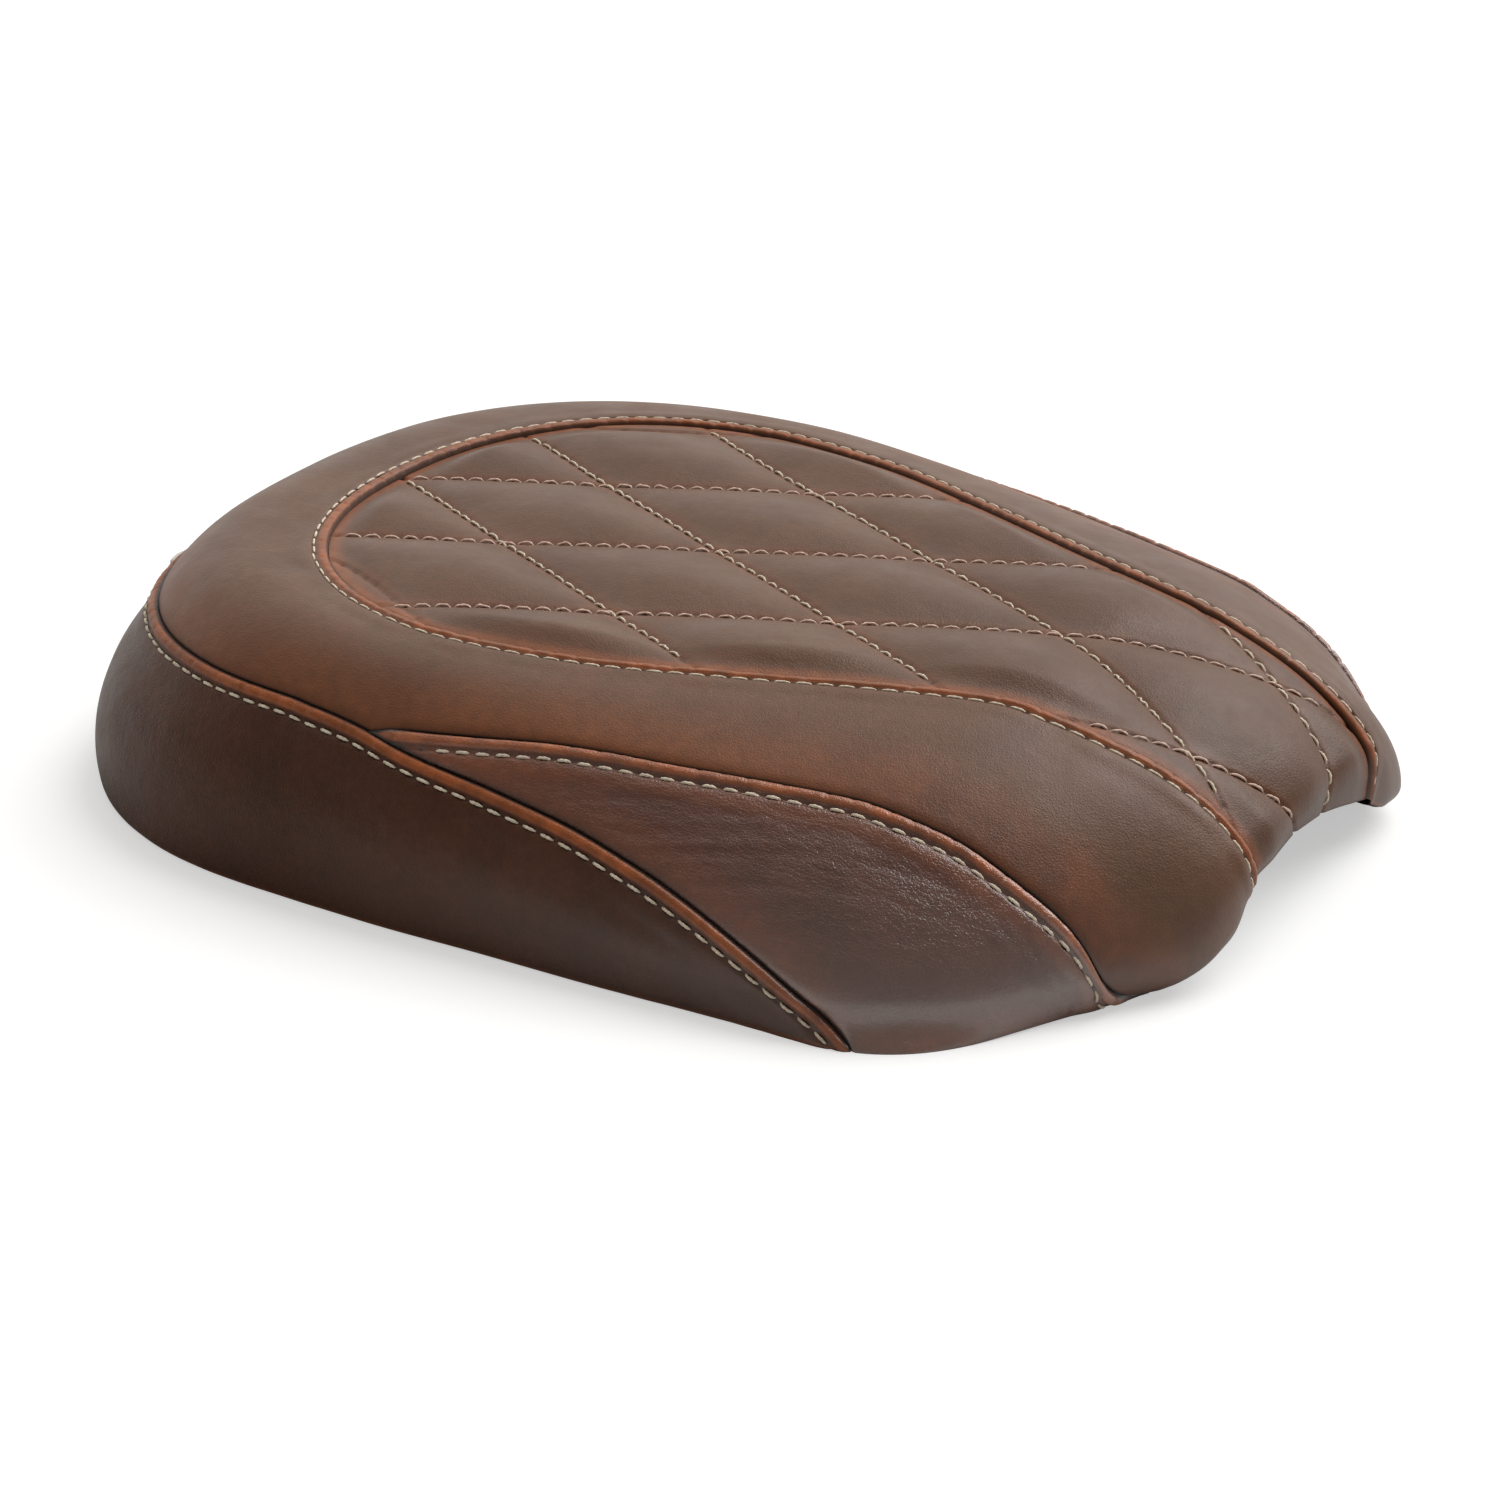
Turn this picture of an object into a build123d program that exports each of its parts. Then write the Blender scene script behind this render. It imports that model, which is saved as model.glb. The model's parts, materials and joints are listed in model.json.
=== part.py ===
"""Solo motorcycle seat: a stitched leather cover over foam on a moulded pan.

Millimetres.  +X points forward to the nose, +Y to the rider's left, +Z up.  The origin is on the
floor that the seat lies on, midway between the nose and the tip of the rear tab.
"""
from build123d import *
import os
from math import atan2, cos, degrees, hypot, radians, sin

os.makedirs("parts", exist_ok=True)

# ---- Overall shape of the upholstered body -----------------------------------------------------
nose_x = 180.0              # furthest point of the nose
body_half_width = 131.0     # widest, at the hips
body_back = 135.0           # from the fan centre to the back of the body
fan_centre_x = -18.0        # centre of the rounded back
body_roundness = 2.8        # exponent of the back's superellipse: 2 is round, more is squarer
hem_half_width = 129.5      # the lower edge, a little inside the widest outline
hem_back = 132.0
deck_height = 60.0          # flat top of the seat behind the middle
back_height = 62.0          # top of the rounded back, a little proud of the deck
back_fullness = 2.05        # exponent of the shoulder's arc at the back
hip_fullness = 1.95         # the same at the hips
back_bulge_z = 7.0          # height at which the back sticks out furthest
hip_bulge_z = 15.0          # the same at the hips

# ---- Quilted inset panel on top ------------------------------------------------------------------
inset_half_width = 83.5
inset_back = 77.0           # from the fan centre to the back of the inset
inset_roundness = 2.2

# Stations along the side, from the hips to the nose.  X is a share of the length from the fan
# centre to the nose, measured back from the nose; widths and heights are shares of the inset's
# half width, the body's half width and the deck's height.  Each is: inset x, width, height;
# bulge x, width, height in mm; hem x, width; fullness of the shoulder's arc.
stations = [
    (0.823, 0.940, 0.988, 0.823, 0.995, 13.0, 0.823, 0.989, 1.90),
    (0.652, 0.796, 0.978, 0.652, 0.995, 12.0, 0.652, 0.989, 1.80),
    (0.470, 0.623, 0.967, 0.470, 0.986, 10.0, 0.465, 0.987, 1.68),
    (0.333, 0.509, 0.950, 0.328, 0.958, 9.0, 0.328, 0.981, 1.58),
    (0.263, 0.486, 0.910, 0.253, 0.901, 9.0, 0.247, 0.935, 1.52),
    (0.197, 0.466, 0.850, 0.177, 0.802, 9.0, 0.184, 0.836, 1.50),
    (0.126, 0.443, 0.767, 0.091, 0.630, 9.0, 0.126, 0.672, 1.50),
    (0.071, 0.431, 0.662, 0.020, 0.469, 9.0, 0.078, 0.473, 1.60),
    (0.020, 0.422, 0.517, 0.001, 0.374, 12.0, 0.045, 0.351, 1.80),
    (0.000, 0.414, 0.400, 0.002, 0.282, 18.0, 0.025, 0.275, 1.90),
]
fan_angles = [0, 18, 36, 54, 72, 90]        # degrees round the back, from its centre to the hips
least_shoulder = 4.0        # least height of the arc between the bulge and the top
slice_heights = [0.0, 4.0, 9.0, 18.0, 28.0, 38.0, 46.0, 52.0, 57.0, 60.0, 66.0]

# ---- Nose roll: a quarter of an ellipse that ends the flat top -----------------------------------
roll_length = 78.0
roll_height = 41.0
roll_base_z = 17.0
deck_drop_x = -40.0         # the top falls gently from here to the roll

# ---- Materials' thicknesses ----------------------------------------------------------------------
leather = 1.6
hem_leather = 1.2           # skived edge that is turned up inside the rim
hem_turn_up = 9.0           # height of that edge inside the rim
floor_gap = 0.3             # the hem clears the floor; the bumpers carry the seat
pan_wall = 2.5
pan_deck_z = 24.0           # underside of the pan's deck
quilt_foam = 6.0            # sewn foam behind the quilted leather
quilt_foam_margin = 2.0     # it stops short of the inset's seam

# ---- Arches in the lower edge --------------------------------------------------------------------
front_arch_half_width = 60.0
front_arch_height = 22.5
front_arch_shoulder = (0.62, 0.84)  # a point on its flank, as shares of half width and height
front_arch_from_x = 130.0
rear_arch_half_width = 60.0
rear_arch_height = 18.5
rear_arch_to_x = -110.0

# ---- Seams, seen from the side: shares of the length behind the nose and of the deck's height ----
main_seam_share = 0.805     # height of the main seam round the back
seam_fork = (1.017, 0.763)  # where the side panel's point begins
main_seam_shares = [seam_fork, (0.823, 0.660), (0.606, 0.505), (0.485, 0.365), (0.359, 0.153),
                    (0.303, 0.0)]
upper_seam_shares = [seam_fork, (0.924, 0.805), (0.707, 0.827), (0.429, 0.773), (0.288, 0.692),
                     (0.152, 0.450), (0.071, 0.0)]

# ---- Brackets and their fasteners ----------------------------------------------------------------
strap_thickness = 3.0
backing_plate_thickness = 2.0
backing_plate_width = 44.0
backing_plate_margin = 16.0         # past the outer bolts
bolt_radius = 3.0
bolt_head_radius = 7.0
bolt_head_height = 3.0
bolt_past_nut = 1.5
bolt_hole_clearance = 0.3
thread_clearance = 0.05
nut_across_flats = 10.0
nut_height = 5.0
foam_pocket_clearance = 1.0

hook_width = 30.0
hook_bolts_x = (78.0, 106.0)
hook_back_x = 62.0
hook_bend_x = 122.0
hook_drop = 9.0
hook_joggle = 8.0
hook_tip_x = 166.0

tab_width = 26.0
tab_bolts_x = (-62.0, -90.0)
tab_front_x = -46.0
tab_bend_x = -106.0
tab_drop = 10.0
tab_joggle = 9.0
tab_tip_x = -180.0

# ---- Captive thumbscrew --------------------------------------------------------------------------
knob_radius = 9.5
knob_height = 7.5
knob_grips = 18
knob_grip_radius = 0.9
screw_shoulder_radius = 3.4
screw_running_clearance = 0.05
screw_thread_radius = 3.0
screw_tip_z = 1.5
screw_lift = 2.8                    # how far it rises before its ring meets the tab
washer_radius = 8.0
washer_thickness = 1.2
ring_radius = 6.0
ring_thickness = 1.2
ring_groove_radius = 2.7
ring_side_clearance = 0.1

# ---- Rubber bumpers ------------------------------------------------------------------------------
bumper_top_radius = 12.0
bumper_foot_radius = 10.0
bumper_front_x = 88.0
bumper_front_y = 92.0
bumper_rear_x = -62.0
bumper_rear_y = 86.0
bumper_screw_radius = 2.0
bumper_screw_head_radius = 4.4
bumper_screw_head_height = 3.0
bumper_seat_z = 14.0                # top of the recess that the screw's head draws up against
bumper_recess_radius = 5.0

# ---- Rivets through the hem ----------------------------------------------------------------------
rivet_z = 5.5
rivet_radius = 1.6
rivet_head_radius = 3.0
rivet_head_height = 1.0

side_reach = 200.0                  # half width of the tools that split the cover


# ==== The body's surface ==========================================================================

def superellipse(centre_x, back, half_width, exponent, angle):
    """A point on the rounded back, at an angle from the back's centre towards the left side."""
    a = radians(angle)
    x = centre_x - back * max(cos(a), 0.0) ** (2 / exponent)
    return x, half_width * max(sin(a), 0.0) ** (2 / exponent)


def behind_nose(share):
    """The x of a station, from its share of the length between the fan centre and the nose."""
    return nose_x - share * (nose_x - fan_centre_x)


def fan(back, half_width, exponent):
    return [superellipse(fan_centre_x, back, half_width, exponent, a) for a in fan_angles]


def inset_plan():
    """Left half of the inset's outline in plan, from the back's centre to the nose."""
    back = fan(inset_back, inset_half_width, inset_roundness)
    return back + [(behind_nose(row[0]), row[1] * inset_half_width) for row in stations]


def bulge_plan():
    """Left half of the body's widest outline."""
    back = fan(body_back, body_half_width, body_roundness)
    return back + [(behind_nose(row[3]), row[4] * body_half_width) for row in stations]


def hem_plan():
    """Left half of the body's lower edge."""
    back = fan(hem_back, hem_half_width, body_roundness)
    return back + [(behind_nose(row[6]), row[7] * body_half_width) for row in stations]


def drawn_in(points, depth):
    """A left half outline, moved in by a depth measured square to it."""
    moved = []
    for i, (x, y) in enumerate(points):
        before = points[i - 1] if i else (x, -points[1][1])
        after = points[i + 1] if i + 1 < len(points) else (x + 1.0, y - 1.0)
        along = (after[0] - before[0], after[1] - before[1])
        length = hypot(*along)
        moved.append((x + depth * along[1] / length, y - depth * along[0] / length))
    return moved


def shoulders():
    """Height of the top, height of the bulge and the arc's fullness, for every outline point."""
    rows = []
    for angle in fan_angles:
        share = angle / 90
        rows.append((back_height + (deck_height - back_height) * share ** 2,
                     back_bulge_z + (hip_bulge_z - back_bulge_z) * share ** 2,
                     back_fullness + (hip_fullness - back_fullness) * share))
    return rows + [(row[2] * deck_height, row[5], row[8]) for row in stations]


def slice_points(height, depth):
    """Left half of the body's outline at a height, for the surface that lies a depth inside."""
    bulges, hems = drawn_in(bulge_plan(), depth), drawn_in(hem_plan(), depth)
    points = []
    for inner, outer, hem, shoulder in zip(inset_plan(), bulges, hems, shoulders()):
        top, bulge, fullness = shoulder
        top -= depth
        bulge = min(bulge, top - least_shoulder)
        if height < bulge:
            share = ((bulge - height) / bulge) ** 2
            x = outer[0] + (hem[0] - outer[0]) * share
            y = outer[1] + (hem[1] - outer[1]) * share
        else:
            rise = min((height - bulge) / (top - bulge), 1.0)
            reach = (1 - rise ** fullness) ** (1 / fullness)
            x = inner[0] + (outer[0] - inner[0]) * reach
            y = inner[1] + (outer[1] - inner[1]) * reach
        points.append((x, max(y, 0.0)))
    return points


def closed_outline(points, height):
    """A face from a left half outline and its mirror image, closed straight across the nose."""
    left = [(x, y, height) for x, y in points]
    right = [(x, -y, height) for x, y in points]
    end = (left[-1][0] - left[-2][0], left[-1][1] - left[-2][1], 0)
    left_edge = Spline(left, tangents=[(0, 1, 0), end])
    right_edge = Spline(right, tangents=[(0, -1, 0), (end[0], -end[1], 0)])
    front = Line(left[-1], right[-1])
    return Face(Wire([left_edge, front, right_edge]))


def side_tool(points, width=2 * side_reach):
    """A prism across the seat from an (x, z) outline whose first and last runs are straight."""
    outline = make_face(Plane.XZ * Polyline(*points, close=True))
    return extrude(outline, amount=width / 2, both=True)


def roll_points(depth):
    """The top's profile from the deck's drop to the front of the nose."""
    centre_x = nose_x - roll_length
    points = [(deck_drop_x, deck_height - depth)]
    for angle in range(0, 91, 10):
        a = radians(angle)
        points.append((centre_x + (roll_length - depth) * sin(a),
                       roll_base_z + (roll_height - depth) * cos(a)))
    return points


def body(depth):
    """The upholstered body's volume, drawn in by a depth all round."""
    slices = [closed_outline(slice_points(h, depth), h) for h in slice_heights]
    lofted = loft(slices)
    profile = roll_points(depth)
    top = Spline(*profile, tangents=[(1, -0.02), (0, -1)])
    front = profile[-1]
    rest = Polyline(front, (front[0] - 4.0, 0.0), (front[0] - 4.0, -1.0), (-side_reach, -1.0),
                    (-side_reach, back_height - depth), (deck_drop_x - 30.0, back_height - depth),
                    profile[0])
    envelope = extrude(make_face(Plane.XZ * (top + rest)), amount=side_reach, both=True)
    return lofted & envelope


def slab(low, high):
    """Everything between two heights."""
    return Pos(0, 0, (low + high) / 2) * Box(4 * side_reach, 2 * side_reach, high - low)


def front_arch(grow):
    """The tunnel under the nose: a low arch, flat on top, with soft flanks."""
    wide, high = front_arch_half_width + grow, front_arch_height + grow
    shoulder = (front_arch_shoulder[0] * wide, front_arch_shoulder[1] * high)
    curve = Spline((wide, 0), shoulder, (0, high), (-shoulder[0], shoulder[1]), (-wide, 0))
    section = make_face(Plane.YZ * (curve + Polyline((-wide, 0), (-wide, -5), (wide, -5),
                                                     (wide, 0))))
    return Pos(front_arch_from_x, 0, 0) * extrude(section, amount=side_reach - front_arch_from_x)


def rear_arch(grow):
    """The elliptical tunnel under the back, for the tab."""
    section = Plane.YZ * Ellipse(rear_arch_half_width + grow, rear_arch_height + grow)
    return Pos(-side_reach, 0, 0) * extrude(section, amount=side_reach + rear_arch_to_x)


def arches(grow):
    """Both arches of the lower edge, enlarged for the pieces that lie behind the leather."""
    return front_arch(grow) + rear_arch(grow)


def vertical_pin(x, y, low, high, radius):
    return Pos(x, y, (low + high) / 2) * Cylinder(radius, high - low)


# ==== Pan, foam and cover =========================================================================

deck_top_z = pan_deck_z + pan_wall
rim_low_z = floor_gap + hem_leather
plate_top_z = deck_top_z + backing_plate_thickness
under_leather = body(leather)
pan_inside_depth = leather + pan_wall
bumper_places = {
    "bumper_front_left": (bumper_front_x, bumper_front_y),
    "bumper_front_right": (bumper_front_x, -bumper_front_y),
    "bumper_rear_left": (bumper_rear_x, bumper_rear_y),
    "bumper_rear_right": (bumper_rear_x, -bumper_rear_y),
}
bracket_bolts_x = hook_bolts_x + tab_bolts_x
main_seam_z = main_seam_share * deck_height
main_seam = [(behind_nose(x), z * deck_height) for x, z in main_seam_shares]
upper_seam = [(behind_nose(x), z * deck_height) for x, z in upper_seam_shares]


def rivet_at(index, side):
    """One rivet through the hem and the rim, square to the rim, with its head inside."""
    outer = slice_points(rivet_z, leather + 0.4)[index]
    inner = slice_points(rivet_z, pan_inside_depth + hem_leather)[index]
    across = hypot(inner[0] - outer[0], inner[1] - outer[1])
    heading = degrees(atan2(side * (inner[1] - outer[1]), inner[0] - outer[0]))
    shank = Pos(0, 0, across / 2) * Cylinder(rivet_radius, across)
    head = Pos(0, 0, across + rivet_head_height / 2) * Cylinder(rivet_head_radius,
                                                                 rivet_head_height)
    rivet = Rot(0, 90, 0) * (shank + head)
    return Pos(outer[0], side * outer[1], rivet_z) * Rot(0, 0, heading) * rivet


def make_rivets():
    hips = len(fan_angles)
    indices = range(3, hips + 4)
    return [rivet_at(i, side) for side in (1, -1) for i in indices]


def make_pan():
    """The pan with its arches and bolt holes, before it is drilled for the rivets."""
    shell = (under_leather & slab(rim_low_z, deck_top_z)) - (body(pan_inside_depth)
                                                            & slab(-2.0, pan_deck_z))
    shell -= arches(leather)
    for x in bracket_bolts_x:
        shell -= vertical_pin(x, 0, 0, deck_top_z + 1, bolt_radius + bolt_hole_clearance)
    for x, y in bumper_places.values():
        shell -= vertical_pin(x, y, 0, deck_top_z + 1, bumper_screw_radius + thread_clearance)
    return shell


def make_cover(pan, rivets):
    """All the leather in one shell: outer skin, the turn under the rim and up inside it."""
    skin = (body(0.0) & slab(floor_gap, back_height + 4)) - under_leather - arches(0.0)
    turn = (under_leather & slab(floor_gap, hem_turn_up)) - body(pan_inside_depth + hem_leather)
    for rivet in rivets:
        turn -= rivet
    return skin + (turn - arches(0.0) - pan)


def inset_prism(margin):
    """The inset's plan, drawn in by a margin, as a vertical prism open at the nose."""
    points = [(x + (margin if i == 0 else 0), max(y - margin, 0.0))
              for i, (x, y) in enumerate(inset_plan())]
    points.append((nose_x + 20.0, points[-1][1]))
    return Pos(0, 0, -5) * extrude(closed_outline(points, 0.0), amount=80, dir=(0, 0, 1))


def below_seam(points, front_x):
    """The tool for everything below a seam whose side view is a smooth curve."""
    seam = Spline(*points)
    rest = Polyline(points[-1], (front_x, -5.0), (-side_reach, -5.0),
                    (-side_reach, main_seam_z), (points[0][0] - 20.0, main_seam_z), points[0])
    return extrude(make_face(Plane.XZ * (seam + rest)), amount=side_reach, both=True)


def split_cover(cover):
    """The cover's five panels, cut along its seams."""
    inset = inset_prism(0.0)
    skirt_tool = below_seam(main_seam, main_seam[-1][0] + 1.0)
    side_piece_tool = below_seam(upper_seam, upper_seam[-1][0] + 1.0) - skirt_tool
    left = Pos(0, side_reach, 0) * Box(4 * side_reach, 2 * side_reach, 2 * side_reach)
    sides = cover & side_piece_tool
    return {
        "cover_inset": cover & inset,
        "cover_collar": cover - inset - skirt_tool - side_piece_tool,
        "cover_side_left": sides & left,
        "cover_side_right": sides - left,
        "cover_skirt": cover & skirt_tool,
    }


def make_quilt_pad():
    layer = (under_leather - body(leather + quilt_foam)) & inset_prism(quilt_foam_margin)
    return layer & slab(deck_top_z + 4.0, back_height)


def make_foam(quilt_pad):
    foam = (under_leather & slab(deck_top_z, back_height + 4)) - quilt_pad
    pocket = foam_pocket_clearance
    for bolts_x in (hook_bolts_x, tab_bolts_x):
        foam -= backing_plate(bolts_x, pocket, False)
        for x in bolts_x:
            foam -= vertical_pin(x, 0, deck_top_z, plate_top_z + bolt_head_height + pocket,
                                 bolt_head_radius + pocket)
    return foam


# ==== Brackets ====================================================================================

def backing_plate(bolts_x, grow, drilled):
    """The plate on top of the deck that spreads the bolts' load, or the pocket for it."""
    low, high = min(bolts_x), max(bolts_x)
    length = high - low + 2 * (backing_plate_margin + grow)
    width = backing_plate_width + 2 * grow
    thickness = backing_plate_thickness
    plate = Box(length, width, thickness)
    plate = fillet(plate.edges().filter_by(Axis.Z), 5.0)
    plate = Pos((low + high) / 2, 0, deck_top_z + thickness / 2) * plate
    if drilled:
        for x in bolts_x:
            plate -= vertical_pin(x, 0, deck_top_z - 1, plate_top_z + 1,
                                  bolt_radius + bolt_hole_clearance)
    return plate


def joggled_strap(start_x, bend_x, joggle, drop, tip_x, width):
    """A flat strap under the deck that steps down and runs on to a rounded tip."""
    forward = 1 if tip_x > start_x else -1
    high, low = pan_deck_z, pan_deck_z - drop
    step_x = bend_x + forward * joggle
    upper = [(start_x, high), (bend_x, high), (step_x, low), (tip_x, low)]
    lower = [(tip_x, low - strap_thickness), (step_x - forward, low - strap_thickness),
             (bend_x - forward, high - strap_thickness), (start_x, high - strap_thickness)]
    strap = side_tool(upper + lower, width)
    tip_side = tip_x - forward * width / 2
    round_end = vertical_pin(tip_side, 0, low - strap_thickness, low, width / 2)
    square_end = Pos(tip_side + forward * width / 2, 0, low - strap_thickness / 2) * Box(
        width, width, strap_thickness)
    return (strap - square_end) + round_end


def make_hook():
    hook = joggled_strap(hook_back_x, hook_bend_x, hook_joggle, hook_drop, hook_tip_x, hook_width)
    for x in hook_bolts_x:
        hook -= vertical_pin(x, 0, 0, pan_deck_z + 1, bolt_radius + bolt_hole_clearance)
    return hook


tab_top_z = pan_deck_z - tab_drop
tab_low_z = tab_top_z - strap_thickness
screw_x = tab_tip_x + tab_width / 2


def make_tab():
    tab = joggled_strap(tab_front_x, tab_bend_x, tab_joggle, tab_drop, tab_tip_x, tab_width)
    for x in tab_bolts_x:
        tab -= vertical_pin(x, 0, 0, pan_deck_z + 1, bolt_radius + bolt_hole_clearance)
    return tab - vertical_pin(screw_x, 0, 0, pan_deck_z,
                              screw_shoulder_radius + screw_running_clearance)


def make_bolt(x):
    """Round-headed carriage bolt, head down on the backing plate."""
    low = pan_deck_z - strap_thickness - nut_height - bolt_past_nut
    head = vertical_pin(x, 0, plate_top_z, plate_top_z + bolt_head_height, bolt_head_radius)
    head = chamfer(head.edges().group_by(Axis.Z)[-1], bolt_head_height * 0.5)
    return head + vertical_pin(x, 0, low, plate_top_z, bolt_radius)


def make_nut(x):
    top = pan_deck_z - strap_thickness
    body_of_nut = extrude(RegularPolygon(nut_across_flats / 2, 6, major_radius=False), nut_height)
    nut = Pos(x, 0, top - nut_height) * body_of_nut
    return nut - vertical_pin(x, 0, 0, top + 1, bolt_radius + thread_clearance)


# ==== Thumbscrew ==================================================================================

washer_top_z = tab_top_z + washer_thickness
ring_top_z = tab_low_z - screw_lift - ring_side_clearance


def make_thumbscrew():
    knob = vertical_pin(screw_x, 0, washer_top_z, washer_top_z + knob_height, knob_radius)
    knob = chamfer(knob.edges().group_by(Axis.Z)[-1], 0.8)
    for i in range(knob_grips):
        a = radians(360 * i / knob_grips)
        knob -= vertical_pin(screw_x + knob_radius * cos(a), knob_radius * sin(a),
                             washer_top_z - 1, washer_top_z + knob_height + 1, knob_grip_radius)
    groove_low = ring_top_z - ring_thickness - ring_side_clearance
    shoulder = vertical_pin(screw_x, 0, ring_top_z + ring_side_clearance, washer_top_z,
                            screw_shoulder_radius)
    groove = vertical_pin(screw_x, 0, groove_low, ring_top_z + ring_side_clearance,
                          ring_groove_radius)
    thread = vertical_pin(screw_x, 0, screw_tip_z, groove_low, screw_thread_radius)
    return knob + shoulder + groove + thread


def make_washer():
    disc = vertical_pin(screw_x, 0, tab_top_z, washer_top_z, washer_radius)
    return disc - vertical_pin(screw_x, 0, 0, washer_top_z + 1,
                               screw_shoulder_radius + screw_running_clearance)


def make_ring():
    disc = vertical_pin(screw_x, 0, ring_top_z - ring_thickness, ring_top_z, ring_radius)
    return disc - vertical_pin(screw_x, 0, 0, ring_top_z + 1,
                               ring_groove_radius + screw_running_clearance)


# ==== Bumpers =====================================================================================

def make_bumper(x, y):
    height = pan_deck_z
    foot = Pos(x, y, height / 2) * Cone(bumper_foot_radius, bumper_top_radius, height)
    foot -= vertical_pin(x, y, -1, height + 1, bumper_screw_radius + thread_clearance)
    return foot - vertical_pin(x, y, -1, bumper_seat_z, bumper_recess_radius)


def make_bumper_screw(x, y):
    head = vertical_pin(x, y, bumper_seat_z - bumper_screw_head_height, bumper_seat_z,
                        bumper_screw_head_radius)
    return head + vertical_pin(x, y, bumper_seat_z, deck_top_z, bumper_screw_radius)


# ==== Everything, by node =========================================================================

def group(solids):
    return Compound(children=[s if isinstance(s, Solid) else s.solid() for s in solids])


rivets = make_rivets()
pan = make_pan()
cover = make_cover(pan, rivets)
quilt_pad = make_quilt_pad()

nodes = {
    "base_pan": pan - rivets,
    "quilt_pad": quilt_pad,
    "foam_core": make_foam(quilt_pad),
    **split_cover(cover),
    "hem_rivets": group(rivets),
    "front_backing_plate": backing_plate(hook_bolts_x, 0, True),
    "front_hook": make_hook(),
    "front_hook_bolts": group([make_bolt(x) for x in hook_bolts_x]),
    "front_hook_nuts": group([make_nut(x) for x in hook_bolts_x]),
    "rear_backing_plate": backing_plate(tab_bolts_x, 0, True),
    "rear_tab": make_tab(),
    "rear_tab_bolts": group([make_bolt(x) for x in tab_bolts_x]),
    "rear_tab_nuts": group([make_nut(x) for x in tab_bolts_x]),
    "thumbscrew": make_thumbscrew(),
    "thumbscrew_washer": make_washer(),
    "retaining_ring": make_ring(),
    "bumper_screws": group([make_bumper_screw(x, y) for x, y in bumper_places.values()]),
    **{name: make_bumper(x, y) for name, (x, y) in bumper_places.items()},
}

for name, shape in nodes.items():
    export_step(shape, f"parts/{name}.step")
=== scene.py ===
"""Looks of the solo motorcycle seat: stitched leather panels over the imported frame.

Design values are millimetres in the frame's axes; meshes are made in metres.
"""
import json
from math import cos, pi, radians, sin

import bpy
import numpy as np
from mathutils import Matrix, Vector
from mathutils.kdtree import KDTree


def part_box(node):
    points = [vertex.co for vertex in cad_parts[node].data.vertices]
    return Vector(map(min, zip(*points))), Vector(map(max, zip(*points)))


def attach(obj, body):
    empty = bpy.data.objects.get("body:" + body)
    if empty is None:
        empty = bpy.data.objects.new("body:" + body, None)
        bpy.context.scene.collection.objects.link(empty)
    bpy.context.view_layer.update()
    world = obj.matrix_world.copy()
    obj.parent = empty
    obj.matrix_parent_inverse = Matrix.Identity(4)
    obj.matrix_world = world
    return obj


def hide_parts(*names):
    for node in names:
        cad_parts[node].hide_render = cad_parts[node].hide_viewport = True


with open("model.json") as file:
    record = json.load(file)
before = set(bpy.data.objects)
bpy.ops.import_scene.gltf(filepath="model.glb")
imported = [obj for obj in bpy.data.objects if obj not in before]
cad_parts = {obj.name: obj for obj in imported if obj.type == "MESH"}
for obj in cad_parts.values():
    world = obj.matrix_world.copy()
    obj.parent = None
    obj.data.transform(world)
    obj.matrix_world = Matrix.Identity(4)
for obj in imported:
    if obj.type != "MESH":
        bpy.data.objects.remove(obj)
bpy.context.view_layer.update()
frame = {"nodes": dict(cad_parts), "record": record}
rng = np.random.default_rng(11)

# ==== Places taken from the frame =================================================================
MM = 0.001
NOSE_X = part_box("cover_collar")[1].x / MM
HALF_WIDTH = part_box("cover_skirt")[1].y / MM
DECK_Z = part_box("base_pan")[1].z / MM
SEAT = "seat"

# ==== Shape of the upholstery, mm. Lengths along X are measured back from the nose ================
FAN_CENTRE = 198.0                  # centre of the rounded back
FAN_ANGLES = (0, 15, 30, 45, 60, 75, 90)
INSET_BACK, INSET_HALF, INSET_ROUND = 77.0, 83.7, 2.2
BULGE_BACK, BULGE_ROUND, BULGE_BACK_Z = 134.3, 2.80, 7.0
HEM_BACK, HEM_HALF, HEM_ROUND = 132.3, 130.8, 2.80
BACK_TOP, HIP_TOP = 62.0, 60.0
BACK_FULLNESS, HIP_FULLNESS = 2.05, 1.95
BACK_PUFF, HIP_PUFF, HIP_BULGE_Z = 4.9, 2.0, 15.0
PUFF_LEAN = 1.2                     # the back's padding stands this much prouder on the right
WING_LEAD = 0.5                     # the left wing sits this far forward of the middle, the right back
NOSE_TILT = 3.0                     # the lower edge of the nose rises this much on the right side

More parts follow.
